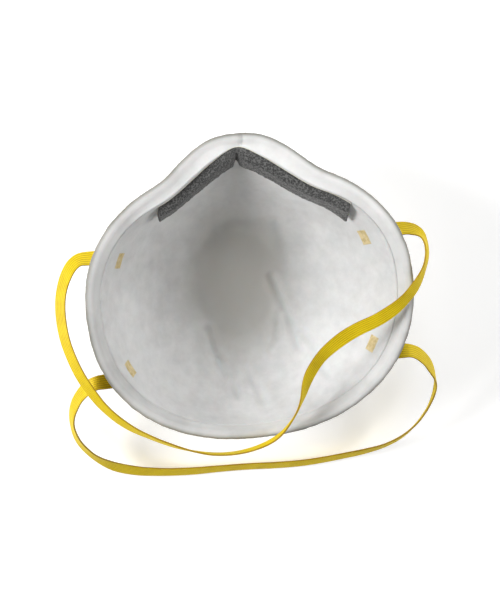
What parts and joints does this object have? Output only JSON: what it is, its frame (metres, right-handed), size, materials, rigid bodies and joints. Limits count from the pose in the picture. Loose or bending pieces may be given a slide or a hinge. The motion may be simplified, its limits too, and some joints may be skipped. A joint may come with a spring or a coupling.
{
  "type": "disposable dust mask",
  "caption": "Moulded cup dust mask with a soft metal nose strip, folded nose foam, a crimped rim and elastic headbands welded to its sides.",
  "frame": {"origin": "centre of the cup's outline in X and Y, at the lowest point of its rounded front, on the table it lies on", "axes": "+Z out of the opening towards the wearer's face, +Y towards the nose, +X towards the wearer's right"},
  "size_m": [0.1545, 0.1499, 0.055],
  "materials": {
    "cover_web": "matte nonwoven",
    "filter_web": "matte nonwoven",
    "inner_web": "matte nonwoven",
    "rim": "crimped nonwoven",
    "nose_strip": "satin",
    "adhesive": "clear hot melt",
    "foam": "fine-celled soft foam",
    "band_weld": "fused, dotted",
    "elastic": "satin, finely ribbed"
  },
  "bodies": {
    "mask": {"outer_cover_web": "cover_web", "filter_media": "filter_web", "inner_shell": "inner_web", "edge_seal": "rim", "nose_clip": "nose_strip", "nose_clip_adhesive": "adhesive", "nose_foam": "foam", "nose_foam_adhesive": "adhesive", "upper_anchor_left": "band_weld", "upper_anchor_right": "band_weld", "lower_anchor_left": "band_weld", "lower_anchor_right": "band_weld"},
    "upper_band": {"upper_headband": "elastic"},
    "lower_band": {"lower_headband": "elastic"}
  },
  "joints": [
    {"name": "upper_headband_swing", "type": "hinge", "parent": "mask", "child": "upper_band", "pos_m": [0, 0.0175, 0.0382], "axis": [-1, 0, 0], "range_deg": [0, 120]},
    {"name": "lower_headband_swing", "type": "hinge", "parent": "mask", "child": "lower_band", "pos_m": [0, -0.0318, 0.042], "axis": [-1, 0, 0], "range_deg": [0, 90]}
  ],
  "couplings": [
    {"joint": "lower_headband_swing", "follows": "upper_headband_swing", "ratio": 0.75}
  ]
}
